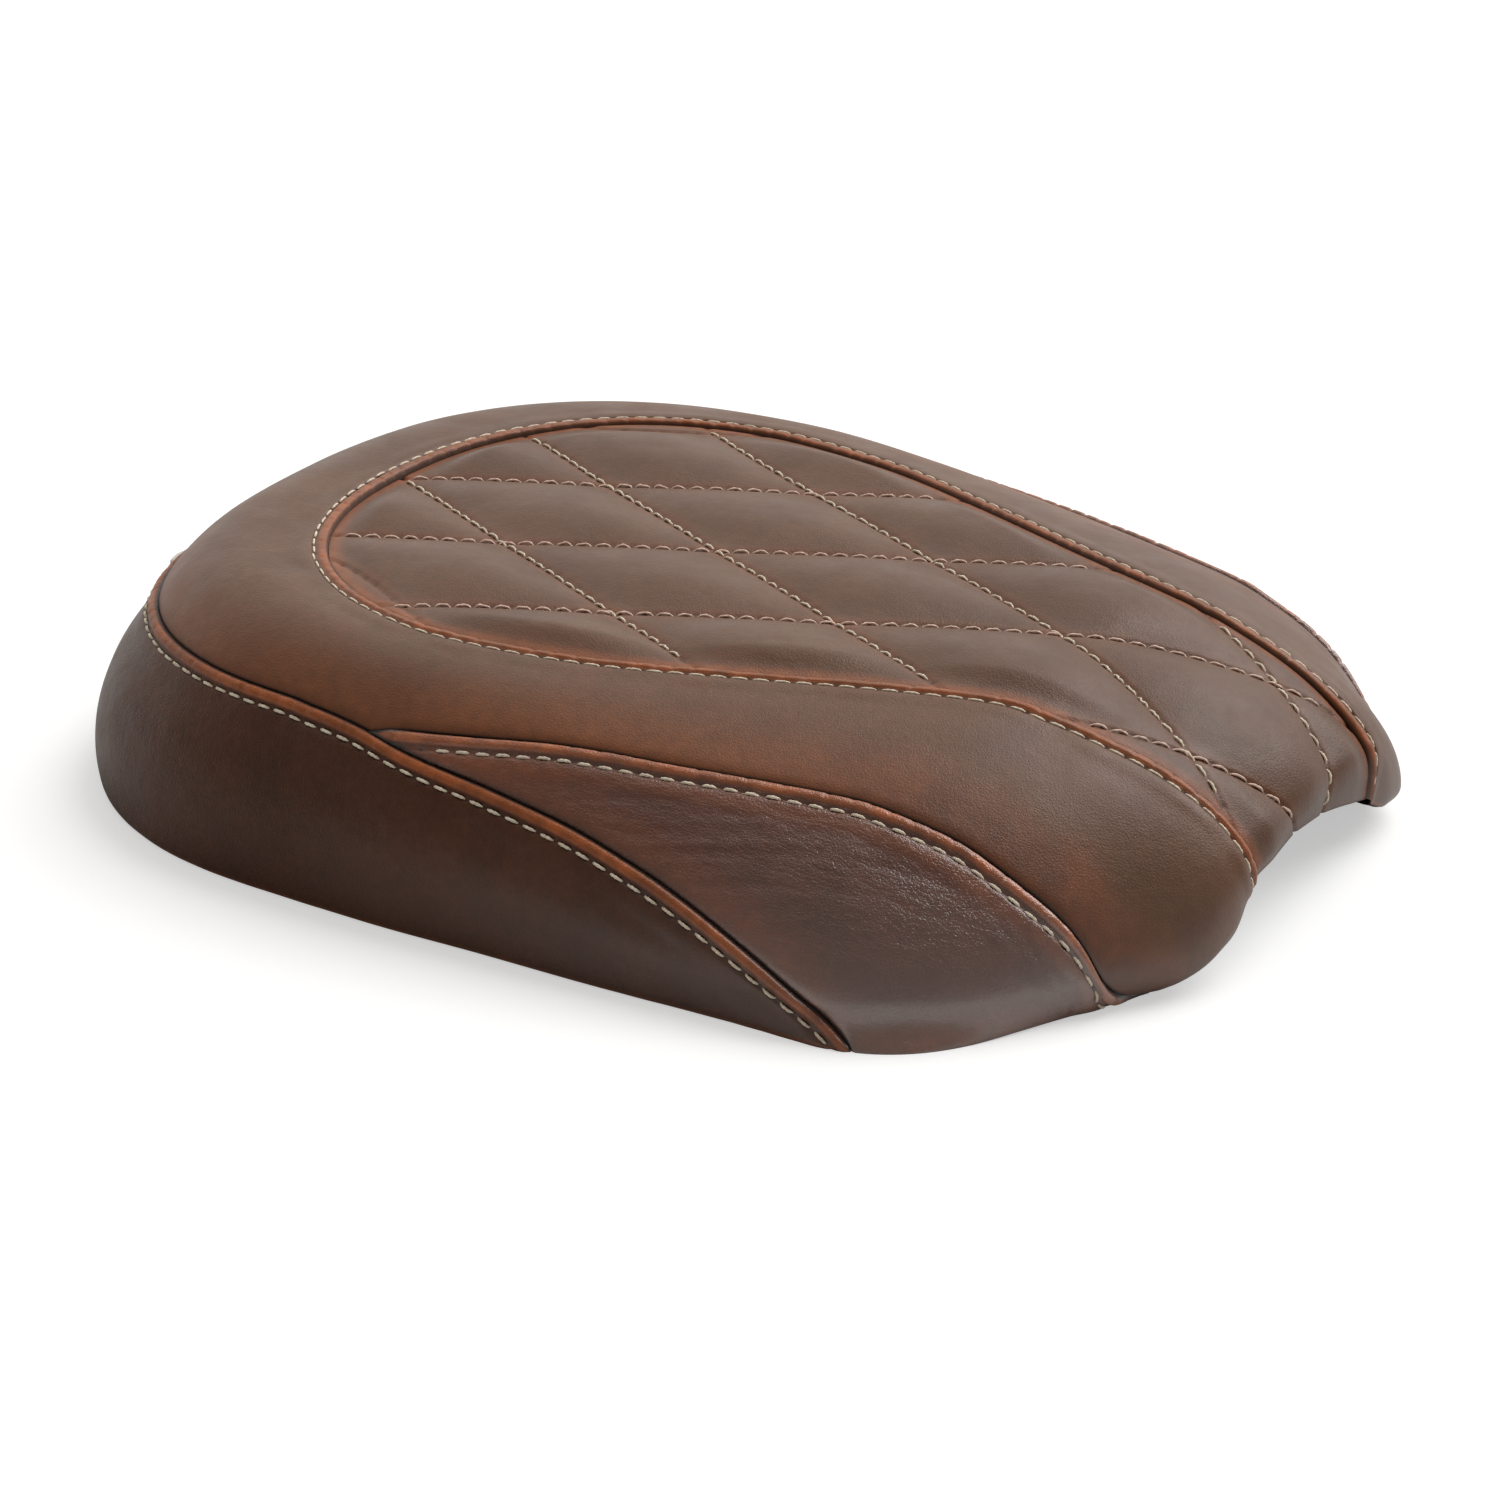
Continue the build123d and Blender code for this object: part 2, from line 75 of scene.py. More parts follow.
# inset: x, half width, z; bulge: x, half width, z, lead; hem: x, half width, z, lead; fullness; puff
STATIONS = (
    (163.0, 78.5, 59.3, 163.0, 130.6, 13.0, 0.0, 163.0, 130.5, 0.0, 0.0, 1.90, 1.2),
    (129.0, 66.5, 58.7, 129.0, 130.6, 12.0, 0.0, 129.0, 130.5, 0.0, 0.0, 1.80, 0.7),
    (93.0, 52.0, 58.0, 93.0, 129.2, 10.0, 0.0, 92.0, 129.3, 0.0, 0.0, 1.68, 0.5),
    (66.0, 42.5, 57.0, 65.0, 125.5, 9.0, 0.0, 65.0, 128.5, 0.0, 0.0, 1.58, 0.4),
    (52.0, 40.6, 54.6, 50.0, 118.0, 9.0, 0.0, 49.0, 122.5, 0.0, 0.0, 1.52, 0.3),
    (39.0, 38.9, 51.0, 35.0, 105.0, 9.0, 0.0, 36.5, 109.5, 0.0, 0.0, 1.50, 0.2),
    (25.0, 37.0, 46.0, 18.0, 82.5, 9.0, 0.0, 25.0, 88.0, 0.0, 0.0, 1.50, 0.2),
    (14.0, 36.0, 39.7, 2.8, 62.0, 9.0, 1.0, 12.5, 63.0, 0.0, 0.0, 1.60, 0.2),
    (4.0, 35.2, 31.0, -0.8, 49.0, 12.5, 0.5, 1.2, 47.0, 8.0, 0.0, 1.80, 0.0),
    (0.3, 34.7, 24.5, -0.3, 38.5, 18.0, 0.3, 0.3, 38.5, 14.0, 0.0, 1.90, 0.0),
    (0.3, 34.6, 18.0, 0.4, 35.6, 17.0, 0.0, 0.5, 35.6, 15.8, 0.0, 1.90, 0.0),
)
NOSE_ROWS = 3                       # the last stations, whose lower points tilt
PUFF_SPAN = 0.62                    # share of the shoulder over which the padding stands proud
WALL_U = 0.25                       # length of the lower wall in the shoulder's parameter
FRONT_HEM_Z = 22.0                  # middle of the front arch
FRONT_LIP = 1.5                     # how far the middle of the nose's lower edge draws back
DISH = 1.5                          # the inset's middle is this much lower than its edge at the back

# Seams, seen from the side: distance behind the nose, height
MAIN_SEAM = ((420.0, 48.3), (320.0, 48.3), (238.0, 48.4), (220.0, 47.8), (208.0, 46.8),
             (201.0, 45.8), (188.0, 43.4), (163.0, 39.6), (140.0, 35.6), (120.0, 30.4),
             (107.5, 26.3), (96.0, 21.8), (83.0, 15.9), (71.0, 9.2), (62.0, 2.8), (50.0, -8.0),
             (40.0, -16.0))
UPPER_SEAM = ((210.0, 44.0), (201.0, 45.8), (194.0, 47.4), (183.0, 48.3), (169.0, 49.1),
              (154.5, 49.8), (140.0, 49.6), (126.0, 48.9), (107.5, 48.0), (96.0, 47.3),
              (85.0, 46.5), (73.0, 45.2), (57.0, 41.5), (43.0, 35.5), (30.0, 27.0),
              (21.0, 17.0), (14.0, 2.0), (11.0, -6.0), (8.0, -14.0))

REAR_ARCH_HALF, REAR_ARCH_HEIGHT = 60.0, 18.5

# Quilting
DIAMOND_LENGTH = 101.6
DIAMOND_PHASE = 275.0               # a crossing on the centre line, this far behind the nose
PUFF_HEIGHT = 3.6
PUFF_REACH = 21.0

SHORTEST_LINE = 24.0                # a quilting line is not sewn where less of it than this is left
SHORTEST_AT_BACK = 52.0             # the same in the rounded back

# Seams and stitches
RIDGE = 3.1
CREASE = 1.1
STITCH_LINE = 4.7
INSET_RIDGE, INSET_STITCH_LINE = 3.0, 4.0
SHADED_FRONT = (8.0, 10.5)          # stations over which painted shade darkens the collar above the upper seam
PITCH = 5.3
THREAD = 0.38
GRID = 1.0                          # spacing of the panels' columns
LIP = 1.6                           # leather folded in at a seam
RIM_DEPTH = 5.3                     # leather, rim and turned-up leather
TURN_UP = 9.0


# ==== Small maths helpers =========================================================================

def catmull(table, t):
    """Smooth interpolation of a table's rows at the real indices t."""
    table = np.asarray(table, float)
    t = np.clip(t, 0, len(table) - 1)
    k = np.minimum(t.astype(int), len(table) - 2)
    f = (t - k)[..., None]
    before = table[np.maximum(k - 1, 0)]
    before = np.where((k == 0)[..., None], MIRROR[:table.shape[1]] * table[1], before)
    after = np.where((k + 2 > len(table) - 1)[..., None], 2 * table[-1] - table[-2],
                     table[np.minimum(k + 2, len(table) - 1)])
    a, b = table[k], table[k + 1]
    return 0.5 * (2 * a + (b - before) * f + (2 * before - 5 * a + 4 * b - after) * f ** 2
                  + (3 * a - before - 3 * b + after) * f ** 3)


def smooth(x, low, high):
    t = np.clip((x - low) / (high - low), 0, 1)
    return t * t * (3 - 2 * t)


def bell(x, centre, width):
    return np.exp(-((x - centre) / width) ** 2)


def unit(v):
    return v / np.maximum(np.linalg.norm(v, axis=-1, keepdims=True), 1e-9)


def wander(x, scale, seed):
    """A repeatable smooth random line, from -1 to 1, that changes over the given length."""
    source = np.random.default_rng(seed).uniform(-1, 1, 4096)
    t = np.asarray(x) / scale + 1000.0
    k = np.floor(t).astype(int)
    f = t - k
    f = f * f * (3 - 2 * f)
    return source[k % 4096] * (1 - f) + source[(k + 1) % 4096] * f


# ==== The upholstery's surface ====================================================================

# Signs of a station's values in its mirror image across y = 0
MIRROR = np.array([1, -1, 1, 1, -1, 1, 1, -1, 1, 1, 1], float)


def superellipse(back, half, exponent, angle):
    a = radians(angle)
    return (NOSE_X - FAN_CENTRE - back * max(cos(a), 0) ** (2 / exponent),
            half * max(sin(a), 0) ** (2 / exponent))


def station_table(side):
    """Rows of inset, bulge and hem points, fullness and puff, from the back's centre to the nose."""
    rows = []
    for angle in FAN_ANGLES:
        share = (angle / 90) ** 2
        ix, iy = superellipse(INSET_BACK, INSET_HALF, INSET_ROUND, angle)
        bx, by = superellipse(BULGE_BACK, HALF_WIDTH - 0.3, BULGE_ROUND, angle)
        hx, hy = superellipse(HEM_BACK, HEM_HALF, HEM_ROUND, angle)
        rows.append((ix, iy, BACK_TOP + (HIP_TOP - BACK_TOP) * share,
                     bx, by, BULGE_BACK_Z + (HIP_BULGE_Z - BULGE_BACK_Z) * share, hx, hy, 0.0,
                     BACK_FULLNESS + (HIP_FULLNESS - BACK_FULLNESS) * angle / 90,
                     BACK_PUFF + (HIP_PUFF - BACK_PUFF) * share
                     - side * PUFF_LEAN * sin(2 * radians(angle))))
    for ix, iy, iz, bx, by, bz, bl, hx, hy, hz, hl, fullness, puff in STATIONS:
        lead = WING_LEAD * side
        rows.append((NOSE_X - ix, iy, iz, NOSE_X - bx + lead * bl, by, bz,
                     NOSE_X - hx + lead * hl, hy, hz, fullness, puff))
    rows = np.array(rows)
    rows[-NOSE_ROWS:, 5] -= side * NOSE_TILT * np.array([0.2, 0.7, 1.0])
    rows[-NOSE_ROWS:, 8] -= side * NOSE_TILT * np.array([0.3, 0.8, 1.0])
    rows[-1, 2] -= side * NOSE_TILT
    return rows


TABLES = {1: station_table(1), -1: station_table(-1)}
LAST = len(TABLES[1]) - 1


def surface(s, u):
    """Points of the surface. s runs from the right side of the nose (-LAST) round the back (0) to
    the left side (LAST); u runs from the inset's edge (0) over the bulge (1) to the hem."""
    s, u = np.broadcast_arrays(np.asarray(s, float), np.asarray(u, float))
    left, right = catmull(TABLES[1], np.abs(s)), catmull(TABLES[-1], np.abs(s))
    row = np.where((s >= 0)[..., None], left, right)
    inset, bulge, hem = row[..., 0:3], row[..., 3:6], row[..., 6:9]
    hem[..., 2] = np.maximum(hem[..., 2], 0)
    fullness, puff = row[..., 9], row[..., 10]
    angle = np.clip(u, 0, 1) * pi / 2
    reach = np.sin(angle) ** (2 / fullness)
    rise = np.maximum(np.cos(angle), 0) ** (2 / fullness)
    proud = 1.1 * puff * np.sin(pi * np.clip(u / PUFF_SPAN, 0, 1)) ** 1.6
    p = np.empty(s.shape + (3,))
    p[..., :2] = inset[..., :2] + (bulge[..., :2] - inset[..., :2]) * reach[..., None]
    p[..., 2] = bulge[..., 2] + (inset[..., 2] - bulge[..., 2]) * rise + proud
    t = np.clip((u - 1) / WALL_U, 0, 1)[..., None]
    p += (hem - bulge) * np.concatenate([t * t, t * t, t], -1)
    p[..., 1] *= np.where(s < 0, -1, 1)
    return p


PROFILE_U = np.concatenate([np.linspace(0, 1, 160), np.linspace(1, 1 + WALL_U, 40)[1:]])


class Columns:
    """Profiles of the surface at the positions s, with the arc length down each of them."""

    def __init__(self, s):
        self.s = np.asarray(s, float)
        self.points = surface(self.s[:, None], PROFILE_U[None, :])
        steps = np.linalg.norm(np.diff(self.points, axis=1), axis=2)
        self.arc = np.concatenate([np.zeros((len(self.s), 1)), np.cumsum(steps, 1)], 1)
        arch = np.minimum(np.abs(self.points[..., 1]) / REAR_ARCH_HALF, 1)
        arch = REAR_ARCH_HEIGHT * np.sqrt(1 - arch ** 2)
        arch = np.where(self.points[..., 0] < NOSE_X - FAN_CENTRE, arch, -1.0)
        low = self.points[..., 2] < arch
        first = np.where(low.any(1), low.argmax(1), low.shape[1] - 1)
        rows = np.arange(len(self.s))
        clear = self.points[rows, first - 1, 2] - arch[rows, first - 1]
        sunk = arch[rows, first] - self.points[rows, first, 2]
        share = np.where(low.any(1), clear / np.maximum(clear + sunk, 1e-6), 1.0)
        self.total = (self.arc[rows, first - 1]
                      + share * (self.arc[rows, first] - self.arc[rows, first - 1]))

    def at(self, arc):
        """Points and outward normals at the given arc lengths, one row of them per column."""
        u = np.array([np.interp(a, c, PROFILE_U) for a, c in zip(arc, self.arc)])
        s = np.broadcast_to(self.s[:, None], u.shape)
        point = surface(s, u)
        along = surface(s + 0.01, u) - surface(s - 0.01, u)
        down = surface(s, np.minimum(u + 0.004, 1 + WALL_U)) - surface(s, np.maximum(u - 0.004, 0))
        normal = unit(np.cross(along, down))
        return point, normal

    def seam(self, curve):
        """Arc length at which a seam, given by its side view, crosses each column."""
        line = np.asarray(curve, float)
        dense = smooth_line(line, np.linspace(0, len(line) - 1, 800))
        order = np.argsort(-dense[:, 0])
        heights = np.interp(NOSE_X - self.points[..., 0], dense[order][::-1, 0],
                            dense[order][::-1, 1])
        below = self.points[..., 2] < heights
        crest = self.points[..., 2].argmax(1)
        out = np.empty(len(self.s))
        for i, row in enumerate(below):
            hit = np.nonzero(row[crest[i]:])[0]
            if not len(hit):
                out[i] = self.total[i]
                continue
            k = crest[i] + hit[0]
            if k == 0:
                out[i] = 0.0
                continue
            z0 = self.points[i, k - 1, 2] - heights[i, k - 1]
            z1 = self.points[i, k, 2] - heights[i, k]
            out[i] = self.arc[i, k - 1] + (self.arc[i, k] - self.arc[i, k - 1]) * z0 / (z0 - z1)
        return out


def smooth_line(points, index):
    """Catmull-Rom through plain points, without the mirror that the station tables need."""
    k = np.minimum(index.astype(int), len(points) - 2)
    f = (index - k)[:, None]
    p0, p1, p2, p3 = (points[np.clip(k + i, 0, len(points) - 1)] for i in (-1, 0, 1, 2))
    return 0.5 * (2 * p1 + (p2 - p0) * f + (2 * p0 - 5 * p1 + 4 * p2 - p3) * f ** 2
                  + (3 * p1 - p0 - 3 * p2 + p3) * f ** 3)


def even_s(start, end, spacing, level):
    """Positions s between two limits, evenly spaced in millimetres along a level of the surface."""
    s = np.linspace(start, end, 3000)
    points = surface(s, np.full(s.shape, level))
    arc = np.concatenate([[0], np.cumsum(np.linalg.norm(np.diff(points, axis=0), axis=1))])
    count = max(int(arc[-1] / spacing), 4)
    return np.interp(np.linspace(0, arc[-1], count + 1), arc, s)


def run_length(points):
    return np.concatenate([[0], np.cumsum(np.linalg.norm(np.diff(points, axis=0), axis=1))])


def crossing(curve, other, low, high):
    """The s, on the left side, at which two seams, or a seam and the hem, meet."""
    s = np.linspace(low, high, 800)
    columns = Columns(s)
    first = columns.seam(curve)
    second = columns.total if other is None else columns.seam(other)
    return s[np.nonzero(second - first <= 1e-6)[0][0]]


# ==== Meshes ======================================================================================

def make_mesh(name, points, faces, material, attributes=None):
    mesh = bpy.data.meshes.new(name)
    mesh.from_pydata((np.asarray(points).reshape(-1, 3) * MM).tolist(), [], faces)
    mesh.validate()
    mesh.polygons.foreach_set("use_smooth", [True] * len(mesh.polygons))
    for key, values in (attributes or {}).items():
        layer = mesh.attributes.new(key, "FLOAT", "POINT")
        layer.data.foreach_set("value", np.asarray(values, np.float32).ravel())
    mesh.materials.append(material)
    mesh.update()
    piece = bpy.data.objects.new(name, mesh)
    bpy.context.scene.collection.objects.link(piece)
    return piece


def grid_faces(rows, columns):
    i = np.arange(rows - 1)[:, None] * columns + np.arange(columns - 1)[None, :]
    return np.stack([i, i + columns, i + columns + 1, i + 1], -1).reshape(-1, 4).tolist()


def edge_relief(d, run, seed, ridge=RIDGE, stitch=STITCH_LINE):
    """Relief of a panel's folded and topstitched edge at a distance d from the crease."""
    nick = np.abs(((run + 1.3 * wander(run, 9.0, seed)) / PITCH) % 1 - 0.5)
    pucker = bell(nick, 0, 0.07 + 0.04 * wander(run, 17.0, seed + 1))
    height = 0.85 + 0.12 * wander(run, 6.0, seed + 2) - 0.42 * pucker
    roll = height * np.sqrt(np.maximum(1 - ((d - ridge / 2) / (ridge / 2)) ** 2, 0))
    under = -CREASE * bell(d, 0, 0.5)
    band = 0.35 * smooth(d, 0, ridge) * (1 - smooth(d, stitch + 0.4, stitch + 4.0))
    groove = -0.45 * bell(d, stitch, 0.55)
    hole = np.abs((run / PITCH) % 1)
    holes = -0.6 * bell(d, stitch, 0.5) * (bell(hole, 0, 0.09) + bell(hole, 1, 0.09))
    swell = (0.35 + 0.25 * wander(run, 11.0, seed + 3)) * bell(d, stitch + 3.2, 2.2)
    return roll + under + band + groove + holes + swell


def edge_burnish_and_shade(d, run, seed, ridge=RIDGE, stitch=STITCH_LINE):
    """How burnished the edge is, and how much painted shade it gets, at a distance d from the crease."""
    burnish = smooth(d, 0.25, 0.8) * (1 - smooth(d, ridge - 0.2, ridge + 0.9))
    burnish = burnish * (0.85 + 0.25 * wander(run, 5.0, seed + 7))
    nick = np.abs((run / PITCH) % 1)
    holes = bell(d, stitch, 0.55) * (bell(nick, 0, 0.1) + bell(nick, 1, 0.1))
    # painted shade in the crease, in the dip below the ridge and in the stitch holes
    dark = bell(d, 0, 0.55) + 0.45 * bell(d, ridge + 0.5, 0.55) + 0.8 * holes
    return burnish, np.clip(dark, 0, 1)


def dive(d, depth=CREASE, reach=3.2):
    """Relief of a panel that rolls down into the crease beside its neighbour's folded edge."""
    return -depth * (1 - np.clip(d / reach, 0, 1) ** 0.6) ** 1.5


NEAR_ROWS = np.array([0, .15, .35, .6, .9, 1.2, 1.5, 1.8, 2.1, 2.4, 2.7, 3.0, 3.4, 3.8, 4.1, 4.4, 4.7,
                      5.0, 5.3, 5.7, 6.3, 7.0, 8.0, 9.0])


def row_arcs(start, end, near_start, near_end, middle):
    """Arc lengths of a panel's rows: close together by its seams, even between them."""
    width = np.maximum(end - start, 1e-4)
    room = near_start[-1] + near_end[-1] + 1e-6
    squeeze = np.minimum(1, 0.92 * width / room)[:, None]
    first = start[:, None] + near_start[None, :] * squeeze
    last = end[:, None] - near_end[None, ::-1] * squeeze
    t = np.linspace(0, 1, middle + 2)[1:-1]
    between = first[:, -1:] + (last[:, :1] - first[:, -1:]) * t
    return np.concatenate([first, between, last], 1)


# ==== Materials ===================================================================================

class Shader:
    """A node material with a principled shader, and short calls for the nodes it needs."""

    def __init__(self, name, **values):
        self.material = bpy.data.materials.new(name)
        self.material.use_nodes = True
        self.tree = self.material.node_tree
        self.shader = self.tree.nodes["Principled BSDF"]
        for key, value in values.items():
            self.shader.inputs[key.replace("_", " ")].default_value = value

    def node(self, kind, links=None, **values):
        made = self.tree.nodes.new(kind)
        for key, value in values.items():
            if key in made.inputs:
                made.inputs[key].default_value = value
            else:
                setattr(made, key, value)
        for key, source in (links or {}).items():
            self.tree.links.new(source, made.inputs[key])
        return made

    def place(self, scale=(1, 1, 1)):
        coordinate = self.node("ShaderNodeTexCoord").outputs["Object"]
        return self.node("ShaderNodeMapping", {"Vector": coordinate}, Scale=scale).outputs[0]

    def noise(self, scale, detail=3.0, stretch=(1, 1, 1), rough=0.55):
        return self.node("ShaderNodeTexNoise", {"Vector": self.place(stretch)}, Scale=scale,
                         Detail=detail, Roughness=rough).outputs["Fac"]

    def cells(self, scale):
        made = self.node("ShaderNodeTexVoronoi", {"Vector": self.place()}, Scale=scale)
        made.feature = "DISTANCE_TO_EDGE"
        return made.outputs["Distance"]

    def attribute(self, name):
        return self.node("ShaderNodeAttribute", attribute_name=name).outputs["Fac"]

    def ramp(self, source, low, high, to_low=0.0, to_high=1.0):
        made = self.node("ShaderNodeMapRange", {"Value": source})
        for key, value in (("From Min", low), ("From Max", high), ("To Min", to_low),
                           ("To Max", to_high)):
            made.inputs[key].default_value = value
        return made.outputs[0]

    def math(self, operation, a, b):
        made = self.node("ShaderNodeMath", operation=operation)
        for i, value in enumerate((a, b)):
            if isinstance(value, (int, float)):
                made.inputs[i].default_value = value
            else:
                self.tree.links.new(value, made.inputs[i])
        return made.outputs[0]

    def mix(self, factor, a, b):
        made = self.node("ShaderNodeMix", data_type="RGBA")
        self.tree.links.new(factor, made.inputs["Factor"])
        for socket, value in ((made.inputs[6], a), (made.inputs[7], b)):
            if isinstance(value, tuple):
                socket.default_value = (*value, 1)
            else:
                self.tree.links.new(value, socket)
        return made.outputs[2]

    def bump(self, height, distance, strength=1.0, normal=None):
        links = {"Height": height}
        if normal is not None:
            links["Normal"] = normal
        return self.node("ShaderNodeBump", links, Distance=distance,
                         Strength=strength).outputs["Normal"]

    def set(self, socket, source):
        self.tree.links.new(source, self.shader.inputs[socket])
        return self


BURNT = (0.46, 0.120, 0.030)        # leather where it is folded


def leather(name, dark, base, light, shine, gloss, grain, wrinkle, wax, stretch=(1, 1, 1)):
    """Oiled pull-up leather: mottled brown, burnished orange where it is folded, and waxed low down
    towards the nose; painted shade darkens it where the mesh's dark attribute says so."""
    m = Shader(name, IOR=1.5, Specular_IOR_Level=shine, Sheen_Weight=0.10, Sheen_Roughness=0.45,
               Coat_IOR=2.2, Coat_Roughness=0.34)
    place = m.node("ShaderNodeSeparateXYZ", {"Vector": m.place()})
    low = m.math("MULTIPLY", m.ramp(place.outputs["Z"], 0.036, 0.010),
                 m.ramp(place.outputs["X"], -0.04, 0.09))
    m.set("Coat Weight", m.math("MULTIPLY", low, wax))
    mottle = m.ramp(m.noise(14, 4), 0.32, 0.68)
    speck = m.ramp(m.noise(420, 3, rough=0.7), 0.35, 0.7)
    colour = m.mix(mottle, base, light)
    colour = m.mix(m.math("MULTIPLY", speck, 0.35), colour, dark)
    patches = m.math("MULTIPLY", m.ramp(m.noise(60, 3), 0.45, 0.75), 0.45)
    colour = m.mix(patches, colour, dark)
    orange = m.mix(m.ramp(m.noise(260, 3), 0.3, 0.7), BURNT, tuple(0.62 * c for c in BURNT))
    colour = m.mix(m.attribute("burnish"), colour, orange)
    # painted shade: where the dark attribute is set, the colour goes down towards an eighth of the base
    colour = m.mix(m.attribute("dark"), colour, tuple(0.12 * c for c in base))
    m.set("Base Color", colour)
    rough = m.ramp(m.noise(90, 3), 0.3, 0.7, gloss - 0.06, gloss + 0.07)
    m.set("Roughness", rough)
    pores = m.ramp(m.cells(1150), 0.0, 0.25)
    fine = m.noise(2600, 2)
    creases = m.noise(300, 4, stretch, 0.62)
    normal = m.bump(creases, 0.0012, wrinkle)
    normal = m.bump(pores, 0.00012, grain, normal)
    normal = m.bump(fine, 0.00006, grain, normal)
    m.set("Normal", normal)
    return m.material


TOP_LEATHER = leather("top_leather", (0.070, 0.026, 0.010), (0.122, 0.045, 0.017),
                      (0.154, 0.062, 0.026), shine=0.38, gloss=0.42, grain=0.30, wrinkle=0.10,
                      wax=0.5)
SIDE_LEATHER = leather("side_leather", (0.044, 0.013, 0.006), (0.104, 0.030, 0.015),
                       (0.132, 0.042, 0.023), shine=0.85, gloss=0.29, grain=0.45, wrinkle=0.32,
                       wax=1.0, stretch=(0.35, 1.0, 1.3))
SKIRT_LEATHER = leather("skirt_leather", (0.036, 0.011, 0.004), (0.086, 0.026, 0.009),
                        (0.120, 0.038, 0.014), shine=0.27, gloss=0.36, grain=0.50, wrinkle=0.22,
                        wax=0.4)


def plain(name, colour, rough, metallic=0.0, grain=900, depth=0.00008, strength=0.4, spread=0.25):
    """Moulded, painted, plated or rubber surface with a fine grain and a little variation."""
    m = Shader(name, Metallic=metallic)
    tone = m.ramp(m.noise(40, 4), 0.3, 0.7)
    darker = tuple(c * (1 - spread) for c in colour)
    m.set("Base Color", m.mix(tone, darker, colour))
    m.set("Roughness", m.ramp(m.noise(130, 3), 0.3, 0.7, max(rough - 0.08, 0.05), rough + 0.08))
    m.set("Normal", m.bump(m.noise(grain, 3), depth, strength))
    return m.material


def thread_material(name, colour, shade):
    m = Shader(name, Roughness=0.75)
    m.set("Base Color", m.mix(m.ramp(m.noise(700, 2), 0.35, 0.65), colour, shade))
    m.set("Normal", m.bump(m.noise(3800, 2), 0.00015, 0.6))
    return m.material


THREAD_MATERIAL = thread_material("thread", (0.90, 0.79, 0.63), (0.72, 0.59, 0.45))
QUILT_THREAD = thread_material("quilt_thread", (0.90, 0.68, 0.58), (0.74, 0.52, 0.42))
FOAM = plain("foam", (0.30, 0.30, 0.31), 0.9, grain=1500, depth=0.0004, strength=0.8)

# ==== Panels ======================================================================================

S_FORK = crossing(MAIN_SEAM, UPPER_SEAM, 4.0, 9.0)
S_SKIRT_END = crossing(MAIN_SEAM, None, 8.0, LAST)
S_SIDE_END = crossing(UPPER_SEAM, None, 9.0, LAST)


def panel(name, s, start, end, near_start, near_end, middle, relief, burnish_and_shade, material, hem=None):
    """A leather panel between two arc lengths of each column, with its relief and folded lips.

    relief, and the function for burnish and painted shade, get each point's distances from the
    panel's upper and lower edge, its run along the panel and its column's s; hem says how much of
    each column's lower edge turns up. The lips and turned-up hem rows get painted shade."""
    columns = Columns(s)
    arcs = row_arcs(start(columns), end(columns), near_start, near_end, middle)
    points, normals = columns.at(arcs)
    from_start = arcs - arcs[:, :1]
    from_end = arcs[:, -1:] - arcs
    width = from_start[:, -1:]
    mid = points[:, 0]
    run = run_length(mid)[:, None] - np.interp(0, s, run_length(mid))
    height = relief(from_start, from_end, width, run, s[:, None])
    burnish, dark = burnish_and_shade(from_start, from_end, run, s[:, None])
    points = points + normals * height[..., None]
    lip = points[:, :1] - normals[:, :1] * LIP
    rows = [lip, points]
    # painted shade: the folded lips are coloured fully dark, the turned-up hem rows half dark
    painted_shade_rows = [dark[:, :1] * 0 + 1, dark]
    glow = [burnish[:, :1] * 0, burnish]
    if hem is not None:
        for inward, up in ((1.2, -0.1), (RIM_DEPTH, 0.0), (RIM_DEPTH, TURN_UP)):
            share = np.clip(hem(columns), 0, 1)[:, None, None]
            flat = unit(normals[:, -1:] * np.array([1, 1, 0]))
            step = points[:, -1:] - flat * (inward * share + LIP * (1 - share))
            step = step + np.array([0, 0, up]) * share
            rows.append(step)
            painted_shade_rows.append(dark[:, :1] * 0 + 0.5)
            glow.append(burnish[:, :1] * 0)
    else:
        rows.append(points[:, -1:] - normals[:, -1:] * LIP)
        painted_shade_rows.append(dark[:, :1] * 0 + 1)
        glow.append(burnish[:, :1] * 0)
    grid = np.concatenate(rows, 1)
    piece = make_mesh(name, grid, grid_faces(grid.shape[0], grid.shape[1]), material,
                      {"burnish": np.concatenate(glow, 1), "dark": np.concatenate(painted_shade_rows, 1)})
    return piece, columns


def hem_relief(d):
    """The last millimetres above the hem, where the leather turns under the rim."""
    return -0.9 * (1 - np.sqrt(np.clip(1 - (1 - np.clip(d / 2.2, 0, 1)) ** 2, 0, 1)))


def skirt_relief(a, b, width, run, s):
    fade = smooth(width, 2.0, 12.0)
    ripple = 0.16 * wander(run * 0.8 + a * 0.9, 7.0, 40) * wander(a, 9.0, 41)
    return edge_relief(a, run, 1) * smooth(width, 0.5, 4.0) + hem_relief(b) + ripple * fade


def skirt_burnish_and_shade(a, b, run, s):
    burnish, dark = edge_burnish_and_shade(a, run, 1)
    rim = 0.5 * bell(b, 0.6, 0.5)
    # painted shade along the hem, where the leather turns under the rim
    return np.clip(burnish + rim, 0, 1), np.clip(dark + bell(b, 0, 0.25), 0, 1)


def collar_low(columns):
    main, upper = columns.seam(MAIN_SEAM), columns.seam(UPPER_SEAM)
    return np.where(np.abs(columns.s) < S_FORK, main, np.minimum(upper, columns.total))


def collar_relief(a, b, width, run, s):
    low = np.where(np.abs(s) > S_SIDE_END, hem_relief(b), dive(b, 0.8))
    return edge_relief(a, run, 21, INSET_RIDGE, INSET_STITCH_LINE) * 0.85 + low


